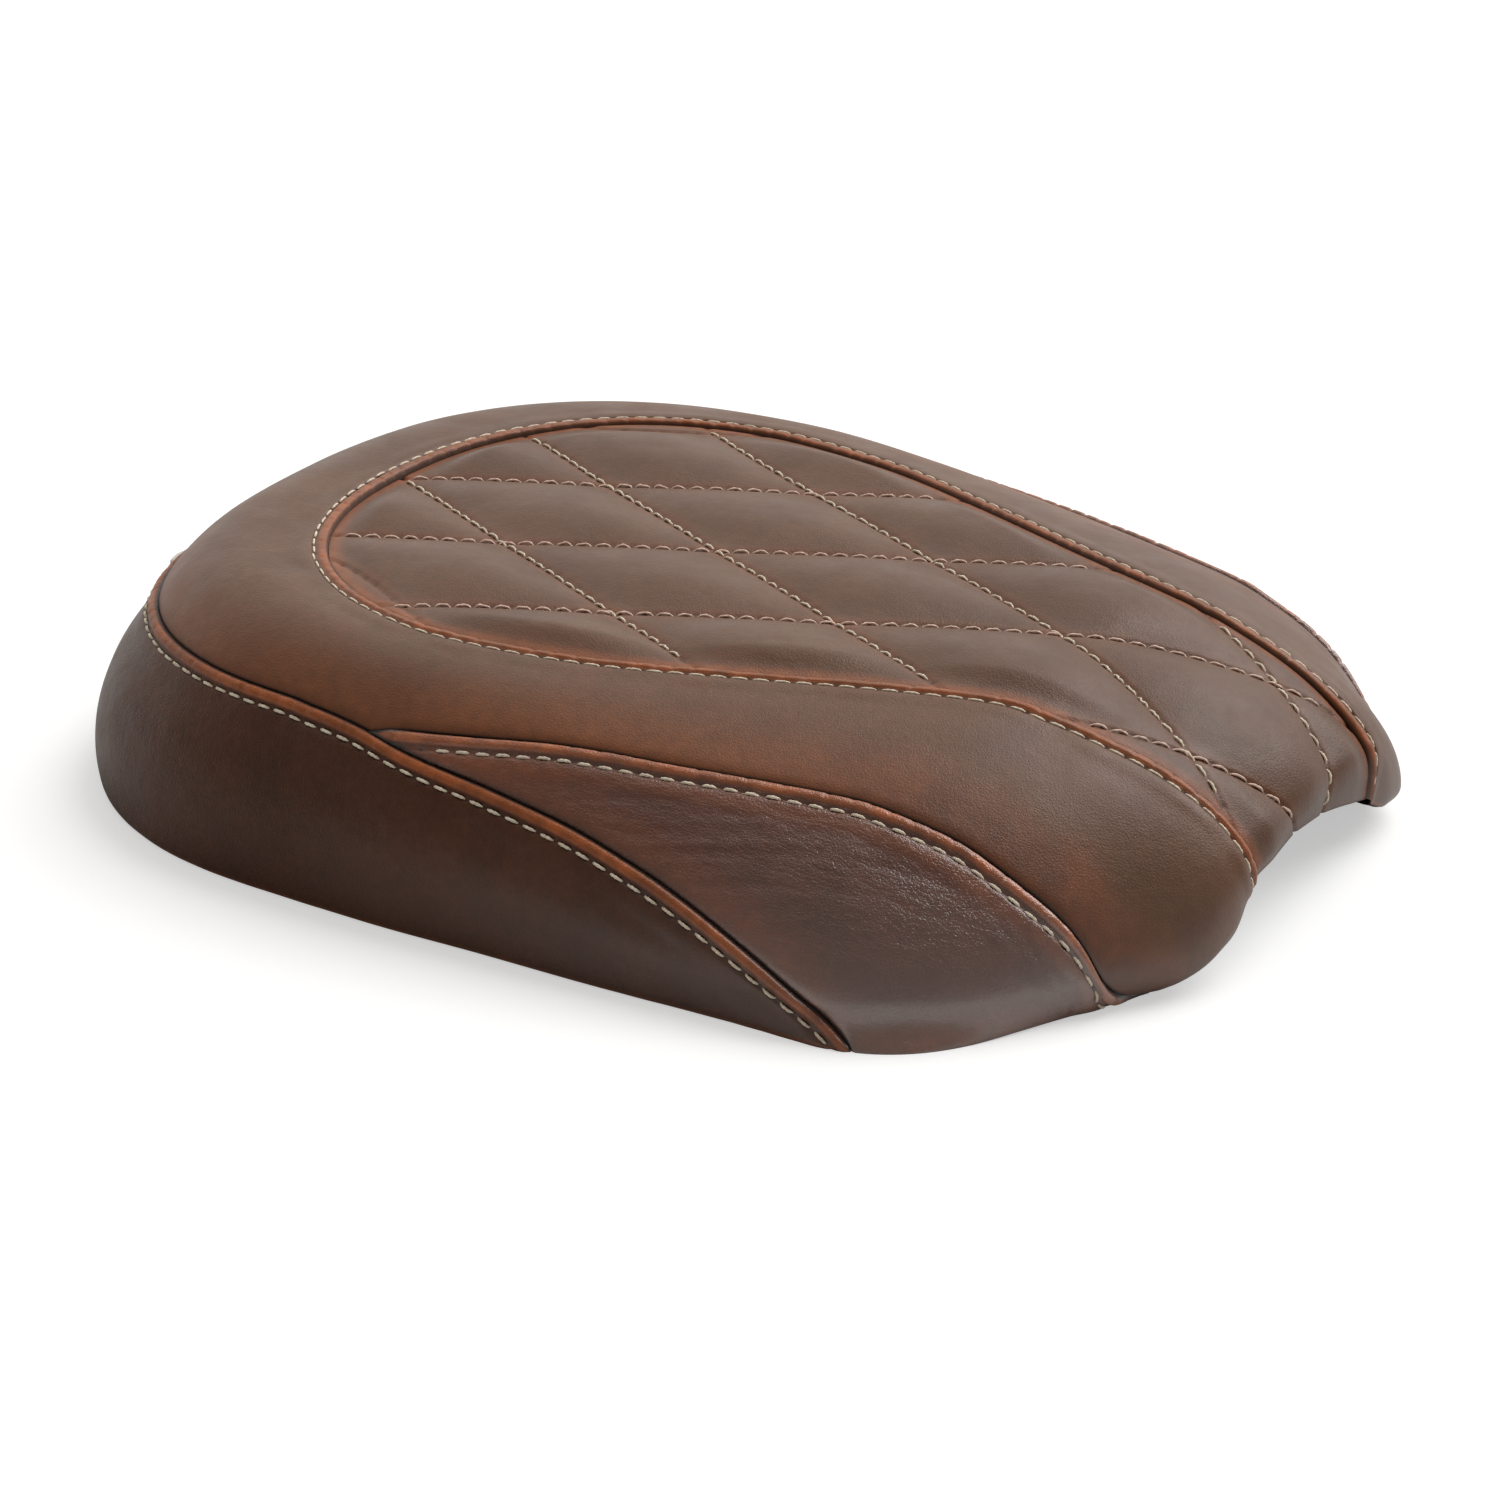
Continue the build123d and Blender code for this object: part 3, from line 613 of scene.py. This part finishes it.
def collar_burnish_and_shade(a, b, run, s):
    burnish, dark = edge_burnish_and_shade(a, run, 21, INSET_RIDGE, INSET_STITCH_LINE)
    hem = np.abs(s) > S_SIDE_END
    glow = np.where(hem, 0.4 * bell(b, 0.8, 0.6), 0.0)
    front = smooth(np.abs(s), *SHADED_FRONT) * (1 - hem)
    # painted shade: a band above the upper seam that grows towards the front, and the seam's crease; the
    # extra orange of warm at the front deepens that painted shade
    shade = 0.55 * front * (1 - smooth(b + 4.0 * wander(run, 8.0, 23), 4.0, 22.0))
    dark = np.clip(dark * 0.7 + np.where(hem, 0, bell(b, 0, 0.5)) + shade, 0, 1)
    warm = (0.30 + 0.25 * front) * (1 - smooth(b, 2.0, 24.0)) * (1 - hem)
    return np.clip(0.75 * burnish + glow + warm, 0, 1), dark


def side_low(columns):
    return np.minimum(columns.seam(MAIN_SEAM), columns.total)


def side_relief(a, b, width, run, s):
    fade = smooth(width, 1.0, 9.0)
    top = edge_relief(a, run, 61) * fade
    tail = 1 - smooth(run - run.min(), 10, 75)
    fan = 0.28 * wander(run * 0.75 + a * 1.6, 3.4, 62) * tail * bell(a, 12.0, 9.0)
    wrinkle = 0.10 * wander(a * 1.2 - run * 0.22, 1.9, 63) * (0.5 + 0.5 * wander(run, 16.0, 64))
    low = np.where(np.abs(s) > S_SKIRT_END, hem_relief(b), dive(b))
    return top + (fan + wrinkle) * smooth(a, 5.5, 9.0) * smooth(b, 1.0, 5.0) * fade + low * fade


def side_burnish_and_shade(a, b, run, s):
    burnish, dark = edge_burnish_and_shade(a, run, 61)
    # painted shade in the crease at the main seam, and along the hem where the leather turns under
    low = np.where(np.abs(s) > S_SKIRT_END, bell(b, 0, 0.25), bell(b, 0, 0.9))
    dark = np.clip(dark + low, 0, 1)
    warm = 0.28 * (1 - smooth(b, 1.5, 16.0)) + 0.25 * bell(a, 7.5, 2.5)
    return np.clip(burnish + warm, 0, 1), dark


SHORT_ROWS = np.array([0, .3, .7, 1.2, 1.8, 2.6, 3.6, 5.0])
SKIRT_S = even_s(-S_SKIRT_END, S_SKIRT_END, GRID, 0.6)
COLLAR_S = even_s(-LAST, LAST, GRID, 0.25)
SIDE_S = even_s(S_FORK, S_SIDE_END, GRID, 0.6)

skirt, skirt_columns = panel(
    "skirt", SKIRT_S, lambda c: c.seam(MAIN_SEAM), lambda c: c.total, NEAR_ROWS, SHORT_ROWS, 26,
    skirt_relief, skirt_burnish_and_shade, SKIRT_LEATHER, hem=lambda c: np.ones(len(c.s)))
collar, collar_columns = panel(
    "collar", COLLAR_S, lambda c: np.zeros(len(c.s)), collar_low, NEAR_ROWS, SHORT_ROWS, 30,
    collar_relief, collar_burnish_and_shade, TOP_LEATHER,
    hem=lambda c: smooth(np.abs(c.s), S_SIDE_END - 0.05, S_SIDE_END + 0.1))
side_pieces = {}
for side, label in ((1, "left"), (-1, "right")):
    side_pieces[label] = panel(
        f"side_panel_{label}", np.sort(side * SIDE_S), lambda c: c.seam(UPPER_SEAM), side_low, NEAR_ROWS,
        SHORT_ROWS, 26, side_relief, side_burnish_and_shade, SIDE_LEATHER,
        hem=lambda c: smooth(np.abs(c.s), S_SKIRT_END - 0.1, S_SKIRT_END + 0.1))


# ==== Quilted inset ===============================================================================

INSET_CORNER = 3.2                  # station where the inset's back turns into its sides
INSET_COLUMNS = 150
FRONT_ROLL = 13.0                   # station from which the inset's middle lifts towards the arch


def make_inset():
    """The quilted panel: rows across the seat, curved at the back to follow its outline."""
    s_side = even_s(INSET_CORNER, LAST, GRID, 0.0)
    left = surface(s_side, np.zeros(len(s_side)))
    right = surface(-s_side, np.zeros(len(s_side)))
    across = np.linspace(-1, 1, INSET_COLUMNS)
    s_back = even_s(-INSET_CORNER, INSET_CORNER, GRID, 0.0)
    back_edge = surface(s_back, np.zeros(len(s_back)))
    back_run = run_length(back_edge)
    back = np.stack([np.interp((across + 1) / 2 * back_run[-1], back_run, back_edge[:, k])
                     for k in range(3)], 1)
    share = ((across + 1) / 2)[None, :, None]
    grid = right[:, None] * (1 - share) + left[:, None] * share
    decay = np.clip(1 - np.arange(len(left)) / 70, 0, 1) ** 2
    grid = grid + (back - grid[0])[None] * decay[:, None, None]
    edge_z = (left[:, 2] + right[:, 2]) / 2
    lift = -DISH * (1 - smooth(left[:, 0], NOSE_X - 300, NOSE_X - 160))
    lift += (FRONT_HEM_Z - edge_z[-1]) * smooth(s_side, FRONT_ROLL, LAST)
    bowl = 1 - across[None, :] ** 2
    grid[..., 2] += lift[:, None] * bowl
    grid[..., 0] -= FRONT_LIP * smooth(s_side, FRONT_ROLL + 1, LAST)[:, None] * bowl
    down = unit(np.gradient(grid, axis=0))
    side_way = unit(np.gradient(grid, axis=1))
    normals = unit(np.cross(down, side_way))
    mid = grid[:, INSET_COLUMNS // 2]
    arc = run_length(mid)
    arc = arc - np.interp(NOSE_X - DIAMOND_PHASE, mid[:len(mid) // 2, 0], arc[:len(mid) // 2])
    along = np.broadcast_to(arc[:, None], grid.shape[:2]).copy()
    along += (grid[..., 0] - mid[:, None, 0]) * decay[:, None]
    flat = np.concatenate([back_edge, left, right])
    tree = KDTree(len(flat))
    for i, p in enumerate(flat):
        tree.insert(p, i)
    tree.balance()
    rim = np.array([tree.find(p)[2] for p in grid.reshape(-1, 3)]).reshape(grid.shape[:2])
    half = DIAMOND_LENGTH / 2
    slope = 5 ** 0.5 / 2
    relief = np.full(grid.shape[:2], PUFF_HEIGHT)
    dark = np.zeros(grid.shape[:2])
    glow = np.zeros(grid.shape[:2])
    for sign, seed in ((1, 81), (-1, 91)):
        value = along / 2 + sign * grid[..., 1]
        d = np.abs(value - half * np.round(value / half)) / slope
        run = (along - sign * grid[..., 1] / 2) / slope
        phase = np.abs((run / PITCH) % 1 - 0.5)
        relief = relief * (0.02 + np.sin(np.clip(d / PUFF_REACH, 0, 1) * pi / 2) ** 0.85)
        pull = 1 - 0.35 * bell(phase, 0.5, 0.16)
        # painted shade in the dimples between the quilting stitches
        dark += 0.35 * bell(d, 0, 0.55) * bell(phase, 0.5, 0.1)
        glow += 0.12 * bell(d, 1.6, 1.4) * pull
    relief = relief * smooth(rim, 0.0, 11.0) * (1 - 0.75 * smooth(s_side, 14.5, LAST))[:, None]
    for sign in (1, -1):
        value = along / 2 + sign * grid[..., 1]
        d = np.abs(value - half * np.round(value / half)) / slope
        run = (along - sign * grid[..., 1] / 2) / slope
        phase = np.abs((run / PITCH) % 1 - 0.5)
        relief -= (0.45 * bell(d, 0, 0.7) + 0.35 * bell(d, 0, 0.8) * bell(phase, 0.5, 0.12))
    relief += dive(rim, 0.5, 3.0)
    # painted shade: the inset darkens towards the nose, where it rolls down towards the darker side
    nose_shade = 0.08 * smooth(grid[..., 0], NOSE_X - 130, NOSE_X - 80)
    nose_shade += 0.12 * smooth(grid[..., 0], NOSE_X - 75, NOSE_X - 10)
    # painted shade in the crease along the inset's edge, added to the rest
    dark = np.clip(dark + 0.6 * bell(rim, 0, 0.5) + nose_shade, 0, 1)
    glow = np.clip(glow + 0.5 * (1 - smooth(rim, 1.0, 4.5)), 0, 1)
    grid = grid + normals * relief[..., None]
    tuck = grid[-1:] + np.array([-4.0, 0, 1.0])
    grid = np.concatenate([grid, tuck])
    # painted shade on the row tucked under the nose
    dark = np.concatenate([dark, dark[-1:] * 0 + 0.7])
    glow = np.concatenate([glow, glow[-1:] * 0])
    piece = make_mesh("quilted_inset", grid, grid_faces(grid.shape[0], grid.shape[1]),
                      TOP_LEATHER, {"burnish": glow, "dark": dark})
    return piece, grid, along, rim


inset, inset_grid, inset_along, inset_rim = make_inset()

# ==== Stitches ====================================================================================

TUBE_SIDES, TUBE_RINGS = 8, 9
LINE_STEP = 0.9                     # spacing of the points of a quilting line
LINE_SLANT = 1.12                   # a quilting line's length for each millimetre along the seat
STITCH_LIFT = 0.15                  # a seam's stitches lie this far off the panel
STITCH_SPARE = 0.3                  # a stitch line ends this far short of the panel's lower edge
LEAST_BELOW_STITCH = 2.0            # leather below the upper seam's stitches
ACROSS_STITCHES = dict(material=THREAD_MATERIAL, length=0.90, rise=0.50, radius=0.38, slant=0.6)
ALONG_STITCHES = dict(material=QUILT_THREAD, length=0.98, rise=0.50, radius=0.34, bow=0.35)


def stitch_mesh(name, path, normals, material, length=0.76, rise=0.35, radius=THREAD, slant=0.0,
                bow=0.0):
    """Short twisted threads along a path, each diving into the leather at both ends."""
    arc = run_length(path)
    count = int(arc[-1] / PITCH)
    centres = (np.arange(count) + 0.5) * PITCH
    t = np.linspace(-0.5, 0.5, TUBE_RINGS)
    where = centres[:, None] + t[None, :] * PITCH * length
    centre = np.stack([np.interp(where, arc, path[:, k]) for k in range(3)], -1)
    up = unit(np.stack([np.interp(where, arc, normals[:, k]) for k in range(3)], -1))
    ahead = unit(np.gradient(centre, axis=1))
    across = unit(np.cross(up, ahead))
    lift = rise * (1 - (2 * np.abs(t)) ** 3.0 * 2.2)
    jitter = 0.08 * rng.standard_normal((count, 1))
    sideways = slant * t[None, :] + bow * (1 - (2 * t[None, :]) ** 2) + jitter
    centre = centre + up * lift[None, :, None] + across * sideways[..., None]
    a = np.linspace(0, 2 * pi, TUBE_SIDES, endpoint=False)
    twist = a[None, None, :] - t[None, :, None] * 9.0 + rng.uniform(0, 6, (count, 1, 1))
    r = radius * (1 + 0.16 * np.cos(2 * twist)) * (1 - 0.45 * (2 * np.abs(t)) ** 4)[None, :, None]
    ring = (across[:, :, None] * (np.cos(a)[None, None, :, None] * r[..., None])
            + up[:, :, None] * (np.sin(a)[None, None, :, None] * r[..., None]))
    points = centre[:, :, None] + ring
    faces = []
    size = TUBE_SIDES * TUBE_RINGS
    for i in range(count):
        for j in range(TUBE_RINGS - 1):
            for k in range(TUBE_SIDES):
                n = (k + 1) % TUBE_SIDES
                base = i * size + j * TUBE_SIDES
                faces.append((base + k, base + n, base + TUBE_SIDES + n, base + TUBE_SIDES + k))
        faces.append(tuple(i * size + k for k in reversed(range(TUBE_SIDES))))
        faces.append(tuple(i * size + size - TUBE_SIDES + k for k in range(TUBE_SIDES)))
    return make_mesh(name, points, faces, material)


def seam_path(columns, start, distance):
    """The line a distance below a seam, with its normals, where the panel is wide enough."""
    arc = start + distance
    points, normals = columns.at(arc[:, None])
    keep = arc < columns.total - STITCH_SPARE
    return points[keep, 0] + normals[keep, 0] * STITCH_LIFT, normals[keep, 0]


threads = []
path, normal = seam_path(skirt_columns, skirt_columns.seam(MAIN_SEAM), STITCH_LINE)
threads.append(stitch_mesh("main_seam_stitches", path, normal, THREAD_MATERIAL))
path, normal = seam_path(collar_columns, np.zeros(len(COLLAR_S)), INSET_STITCH_LINE)
threads.append(stitch_mesh("inset_seam_stitches", path, normal, THREAD_MATERIAL, rise=0.1,
                           radius=0.33))
for label, (piece, columns) in side_pieces.items():
    start, low = columns.seam(UPPER_SEAM), side_low(columns)
    wide = low - start > STITCH_LINE + LEAST_BELOW_STITCH
    points, normals = columns.at((start + STITCH_LINE)[:, None])
    threads.append(stitch_mesh(f"upper_seam_stitches_{label}", points[wide, 0],
                               normals[wide, 0], THREAD_MATERIAL))


def quilt_stitches():
    """One row of stitches along each diamond line, laid on the quilted surface."""
    tree = KDTree(inset_grid[:-1].shape[0] * inset_grid.shape[1])
    flat = inset_grid[:-1].reshape(-1, 3)
    plan = np.stack([inset_along.ravel(), inset_grid[:-1, :, 1].ravel(), 0 * inset_along.ravel()], 1)
    for i, p in enumerate(plan):
        tree.insert(p, i)
    tree.balance()
    rim = inset_rim.ravel()
    made = []
    step = LINE_STEP / LINE_SLANT
    down = unit(np.gradient(inset_grid[:-1], axis=0))
    side_way = unit(np.gradient(inset_grid[:-1], axis=1))
    all_normals = unit(np.cross(down, side_way)).reshape(-1, 3)
    for sign, label, look in ((1, "a", ACROSS_STITCHES), (-1, "b", ALONG_STITCHES)):
        for k in range(-3, 9):
            along = np.arange(inset_along.min(), inset_along.max(), step)
            y = sign * (DIAMOND_LENGTH / 2 * k - along / 2)
            keep = np.abs(y) < 90
            path, normals = [], []
            for a, b in zip(along[keep], y[keep]):
                near = tree.find_n((a, b, 0), 6)
                if near[0][2] > 1.4 or rim[near[0][1]] < 2.4:
                    continue
                weights = np.array([1 / (n[2] + 0.05) for n in near])
                index = [n[1] for n in near]
                q = (flat[index] * weights[:, None]).sum(0) / weights.sum()
                normals.append(all_normals[near[0][1]])
                path.append(q)
            shortest = SHORTEST_AT_BACK if path and path[-1][0] < NOSE_X - 200 else SHORTEST_LINE
            if len(path) * LINE_STEP < shortest:
                continue
            made.append(stitch_mesh(f"quilt_stitches_{label}{k + 3}", np.array(path),
                                    np.array(normals), **look))
    return made


threads += quilt_stitches()


# ==== Foam under the leather ======================================================================

FOAM_END = 14.0                     # station at which the foam ends, short of the nose
FOAM_DEPTH = 4.5                    # the foam's sides lie this far inside the leather
FOAM_TOP_DEPTH = 6.0                # and its top this far below the inset's edge


def make_foam():
    """The moulded foam and its quilted layer as one closed form, just inside the leather."""
    s = even_s(-FOAM_END, FOAM_END, 6.0, 0.5)
    columns = Columns(s)
    floor = np.array([np.interp(-(DECK_Z + 1.0), -p[p[:, 2].argmax():, 2], a[p[:, 2].argmax():])
                      for p, a in zip(columns.points, columns.arc)])
    arcs = np.linspace(0, 1, 14)[None, :] * floor[:, None]
    points, normals = columns.at(arcs)
    points = points - normals * FOAM_DEPTH
    points[..., 2] = np.minimum(points[..., 2], columns.points[:, :1, 2] - FOAM_TOP_DEPTH)
    rows, cols = points.shape[:2]
    faces = grid_faces(rows, cols)
    ring_top = [i * cols for i in range(rows)]
    ring_low = [i * cols + cols - 1 for i in range(rows)]
    half = rows // 2
    for ring, flip in ((ring_top, False), (ring_low, True)):
        for i in range(half):
            quad = (ring[i], ring[i + 1], ring[rows - 2 - i], ring[rows - 1 - i])
            if len(set(quad)) >= 3:
                face = tuple(dict.fromkeys(quad))
                faces.append(face if flip else face[::-1])
    nose = list(range(cols)) + list(range((rows - 1) * cols + cols - 1, (rows - 1) * cols - 1, -1))
    faces.append(tuple(nose))
    return make_mesh("foam_body", points, faces, FOAM)


foam = make_foam()

# ==== Riding and replaced nodes ===================================================================

leather_pieces = (
    (inset, "top_leather", ("cover_inset",), 0.95),
    (collar, "top_leather", ("cover_collar",), 0.95),
    (skirt, "skirt_leather", ("cover_skirt",), 0.95),
    (side_pieces["left"][0], "side_leather", ("cover_side_left",), 0.95),
    (side_pieces["right"][0], "side_leather", ("cover_side_right",), 0.95),
    (foam, "foam", ("foam_core", "quilt_pad"), 1.0),
)
for piece, slot, nodes, fill in leather_pieces:
    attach(piece, SEAT)
    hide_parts(*nodes)
for piece in threads:
    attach(piece, SEAT)

# ==== Finishes of the CAD nodes ===================================================================

PLASTIC = plain("pan_plastic", (0.030, 0.030, 0.031), 0.55, grain=1400, depth=0.0002)
PAINT = plain("bracket_paint", (0.022, 0.022, 0.023), 0.38, grain=500, depth=0.00006)
ZINC = plain("zinc_steel", (0.62, 0.61, 0.57), 0.32, 1.0, grain=900, depth=0.00004, spread=0.12)
ALUMINIUM = plain("rivet_aluminium", (0.76, 0.76, 0.77), 0.34, 1.0, spread=0.1)
RUBBER = plain("bumper_rubber", (0.026, 0.026, 0.026), 0.8, grain=2200, depth=0.00012)
FINISHES = {"pan_plastic": PLASTIC, "bracket_paint": PAINT, "zinc_steel": ZINC,
            "rivet_aluminium": ALUMINIUM, "bumper_rubber": RUBBER}
for part in frame["record"]["subparts"]:
    finish = FINISHES.get(part["material_slot"])
    if finish:
        node = frame["nodes"][part["node"]]
        node.data.materials.clear()
        node.data.materials.append(finish)

# ==== Stage, light and camera =====================================================================

scene = bpy.context.scene
FLOOR_TONE = 0.62
FLOOR_GLOW = 0.50                   # added for the camera alone, so that the lit floor is white there


def floor_material():
    m = Shader("floor", Roughness=0.9, Specular_IOR_Level=0.0)
    m.shader.inputs["Base Color"].default_value = (FLOOR_TONE, FLOOR_TONE, FLOOR_TONE, 1)
    path = m.node("ShaderNodeLightPath").outputs["Is Camera Ray"]
    glow = m.node("ShaderNodeEmission", Color=(1, 1, 1, 1))
    m.tree.links.new(m.math("MULTIPLY", path, FLOOR_GLOW), glow.inputs["Strength"])
    total = m.node("ShaderNodeAddShader")
    m.tree.links.new(m.shader.outputs[0], total.inputs[0])
    m.tree.links.new(glow.outputs[0], total.inputs[1])
    m.tree.links.new(total.outputs[0], m.tree.nodes["Material Output"].inputs["Surface"])
    return m.material


bpy.ops.mesh.primitive_plane_add(size=40, location=(0, 0, 0))
floor = bpy.context.object
floor.name = "floor"
floor.data.materials.append(floor_material())

world = bpy.data.worlds.new("studio")
scene.world = world
world.use_nodes = True
tree = world.node_tree
background = tree.nodes["Background"]


def world_node(kind, **values):
    made = tree.nodes.new(kind)
    for key, value in values.items():
        setattr(made, key, value)
    return made


direction = world_node("ShaderNodeTexCoord").outputs["Generated"]
bright_way = Vector((-0.42, 0.80, 0.43)).normalized()
dot = world_node("ShaderNodeVectorMath", operation="DOT_PRODUCT")
tree.links.new(direction, dot.inputs[0])
dot.inputs[1].default_value = bright_way
spread = world_node("ShaderNodeMapRange")
tree.links.new(dot.outputs["Value"], spread.inputs["Value"])
for key, value in (("From Min", 0.10), ("From Max", 0.95), ("To Min", 0.24), ("To Max", 0.98)):
    spread.inputs[key].default_value = value
spread.interpolation_type = "SMOOTHSTEP"
path = world_node("ShaderNodeLightPath")
swap = world_node("ShaderNodeMix")
tree.links.new(path.outputs["Is Camera Ray"], swap.inputs["Factor"])
tree.links.new(spread.outputs[0], swap.inputs[2])
swap.inputs[3].default_value = 1.0
tree.links.new(swap.outputs[0], background.inputs["Strength"])
tint = world_node("ShaderNodeMix", data_type="RGBA")
tree.links.new(path.outputs["Is Camera Ray"], tint.inputs["Factor"])
tint.inputs[6].default_value = (1, 0.985, 0.93, 1)
tint.inputs[7].default_value = (1, 1, 1, 1)
tree.links.new(tint.outputs[2], background.inputs["Color"])


key_data = bpy.data.lights.new("key", "SUN")
key_data.energy, key_data.angle = 2.1, radians(50)
key = bpy.data.objects.new("key", key_data)
key.rotation_euler = Vector((-0.30, -0.62, -0.85)).to_track_quat("-Z", "Y").to_euler()
scene.collection.objects.link(key)

AIM = Vector((NOSE_X - 163.0, 0, 4.5)) * MM
AZIMUTH, ELEVATION, DISTANCE = radians(31.1), radians(24.0), 1.0726
back_way = Vector((sin(AZIMUTH) * cos(ELEVATION), -cos(AZIMUTH) * cos(ELEVATION), sin(ELEVATION)))
camera_data = bpy.data.cameras.new("camera")
camera_data.lens, camera_data.sensor_width = 96.0, 36.0
camera = bpy.data.objects.new("camera", camera_data)
camera.location = AIM + back_way * DISTANCE
camera.rotation_euler = (-back_way).to_track_quat("-Z", "Y").to_euler()
scene.collection.objects.link(camera)
scene.camera = camera
scene.view_settings.view_transform = "Standard"
